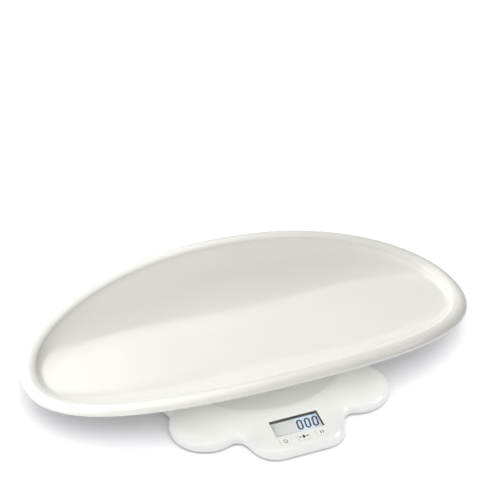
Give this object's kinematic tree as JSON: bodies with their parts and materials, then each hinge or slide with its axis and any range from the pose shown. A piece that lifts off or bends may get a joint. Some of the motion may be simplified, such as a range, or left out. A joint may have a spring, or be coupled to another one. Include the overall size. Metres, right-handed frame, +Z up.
{
  "type": "digital baby weighing scale",
  "caption": "Baby scale: a long oval lift-off tray with a rolled rim on a lobed base that has a sloped digital display, small press keys and load cell feet.",
  "frame": {"origin": "on the floor plane under the middle of the whole object", "axes": "+X along the tray's long axis, to the right seen from the display; -Y to the front, where the display is; +Z up"},
  "size_m": [0.55, 0.3244, 0.0885],
  "materials": {
    "tray_plastic": "glossy moulded ivory white",
    "cover_plastic": "glossy moulded ivory white",
    "bottom_plastic": "fine eroded ivory",
    "key_plastic": "satin white",
    "black_frame": "matte blue black",
    "clear_lens": "clear acrylic",
    "lcd_face": "pale grey polariser",
    "lcd_ink": "dark slate segments",
    "guide_plastic": "milky diffuser",
    "strip_rubber": "striped elastomer",
    "board_laminate": "green solder mask",
    "chip_resin": "black resin",
    "socket_nylon": "natural nylon",
    "dome_silicone": "grey silicone",
    "grey_rubber": "soft grey rubber",
    "zinc_steel": "zinc plated",
    "cell_steel": "nickel plated spring steel",
    "coin_steel": "stainless steel can",
    "contact_metal": "nickel plated strip",
    "carrier_nylon": "natural nylon",
    "red_wire": "red insulation",
    "black_wire": "black insulation"
  },
  "bodies": {
    "base": {"base_cover": "cover_plastic", "base_bottom": "bottom_plastic", "base_screws": "zinc_steel", "display_frame": "black_frame", "display_lens": "clear_lens", "lcd_panel": "lcd_face", "lcd_digits": "lcd_ink", "light_guide": "guide_plastic", "contact_strips": "strip_rubber", "main_board": "board_laminate", "board_screws": "zinc_steel", "controller_chip": "chip_resin", "lead_sockets": "socket_nylon", "dome_power": "dome_silicone", "dome_zero": "dome_silicone", "dome_hold": "dome_silicone", "coin_cells": "coin_steel", "battery_springs": "contact_metal", "battery_clips": "contact_metal", "cell_leads": "red_wire", "battery_leads": "black_wire", "carrier_front_left": "carrier_nylon", "cell_front_left": "cell_steel", "foot_front_left": "bottom_plastic", "sole_front_left": "grey_rubber", "carrier_front_right": "carrier_nylon", "cell_front_right": "cell_steel", "foot_front_right": "bottom_plastic", "sole_front_right": "grey_rubber", "carrier_rear_left": "carrier_nylon", "cell_rear_left": "cell_steel", "foot_rear_left": "bottom_plastic", "sole_rear_left": "grey_rubber", "carrier_rear_right": "carrier_nylon", "cell_rear_right": "cell_steel", "foot_rear_right": "bottom_plastic", "sole_rear_right": "grey_rubber"},
    "tray": {"tray": "tray_plastic", "tray_foot": "tray_plastic", "tray_foot_screws": "zinc_steel", "tray_pads": "grey_rubber"},
    "key_power": {"key_power": "key_plastic"},
    "key_zero": {"key_zero": "key_plastic"},
    "key_hold": {"key_hold": "key_plastic"},
    "battery_door": {"battery_door": "bottom_plastic"}
  },
  "joints": [
    {"name": "tray_lift", "type": "slide", "parent": "base", "child": "tray", "axis": [0, 0, 1], "range_m": [0, 0.08]},
    {"name": "key_power_press", "type": "slide", "parent": "base", "child": "key_power", "axis": [0, 0.0725, -0.9974], "range_m": [0, 0.0005], "stiffness_N_per_m": 1500, "deforming": ["dome_power"]},
    {"name": "key_zero_press", "type": "slide", "parent": "base", "child": "key_zero", "axis": [0, 0.0725, -0.9974], "range_m": [0, 0.0005], "stiffness_N_per_m": 1500, "deforming": ["dome_zero"]},
    {"name": "key_hold_press", "type": "slide", "parent": "base", "child": "key_hold", "axis": [0, 0.0725, -0.9974], "range_m": [0, 0.0005], "stiffness_N_per_m": 1500, "deforming": ["dome_hold"]},
    {"name": "battery_door_swing", "type": "hinge", "parent": "base", "child": "battery_door", "pos_m": [0, 0.07725, 0.0055], "axis": [1, 0, 0], "range_deg": [0, 95]}
  ]
}
